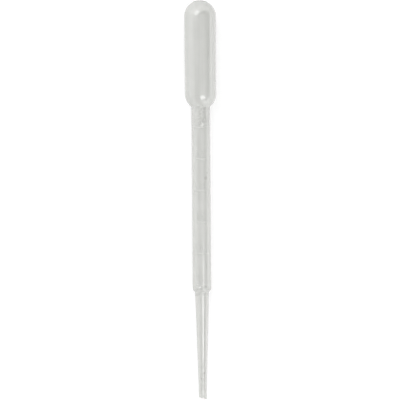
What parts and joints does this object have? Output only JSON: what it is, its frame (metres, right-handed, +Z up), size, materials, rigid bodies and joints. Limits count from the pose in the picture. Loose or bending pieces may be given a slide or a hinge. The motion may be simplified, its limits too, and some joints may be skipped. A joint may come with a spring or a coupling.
{
  "type": "plastic dropper pipette",
  "caption": "Disposable transfer pipette: a round-ended squeeze bulb, a graduated stem, a short shoulder and a long tapering tip, blown as one hollow skin.",
  "frame": {"origin": "on the surface that the pipette lies on, below the middle of its overall length", "axes": "+Z up; +X along the pipette from its cut tip to its bulb, level, while the pipette's own axis climbs 1.85 degrees from tip to bulb; +Y across it, and the graduations face up"},
  "size_m": [0.16, 0.0128, 0.0135],
  "materials": {
    "skin": "natural low-density polyethylene, translucent and milky, satin outside with a waxy sheen"
  },
  "bodies": {
    "root": {"pipette": "skin"}
  },
  "joints": []
}
